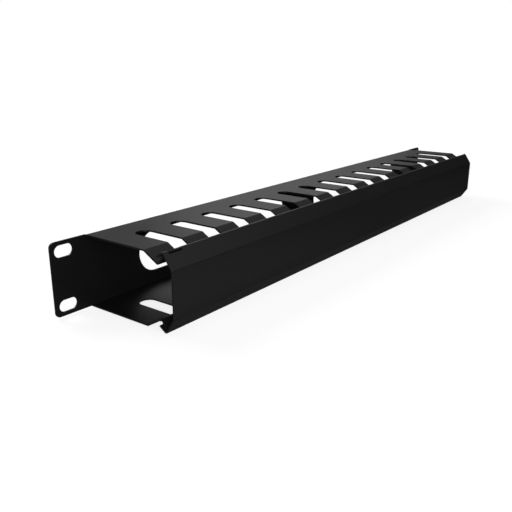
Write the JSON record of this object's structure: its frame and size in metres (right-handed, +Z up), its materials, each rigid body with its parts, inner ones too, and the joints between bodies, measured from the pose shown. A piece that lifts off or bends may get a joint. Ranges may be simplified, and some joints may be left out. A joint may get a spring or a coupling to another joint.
{
  "type": "horizontal cable manager",
  "caption": "Slotted cable duct for a 19 inch rack: a folded channel with fingers along its top and bottom, rack ears, rear openings and a clip-on front cover.",
  "frame": {"origin": "middle of the rear face of the back plate and ears, at the centre of the four rack slots", "axes": "+X along the length to the right as seen from the front, +Y to the rear, +Z up"},
  "size_m": [0.4826, 0.0686, 0.045],
  "materials": {
    "powder_coat": "fine satin black powder coat on folded steel sheet"
  },
  "bodies": {
    "channel": {"channel": "powder_coat"},
    "cover": {"cover": "powder_coat"}
  },
  "joints": [
    {"name": "cover_pull", "type": "slide", "parent": "channel", "child": "cover", "axis": [0, -1, 0], "range_m": [0, 0.04]}
  ]
}
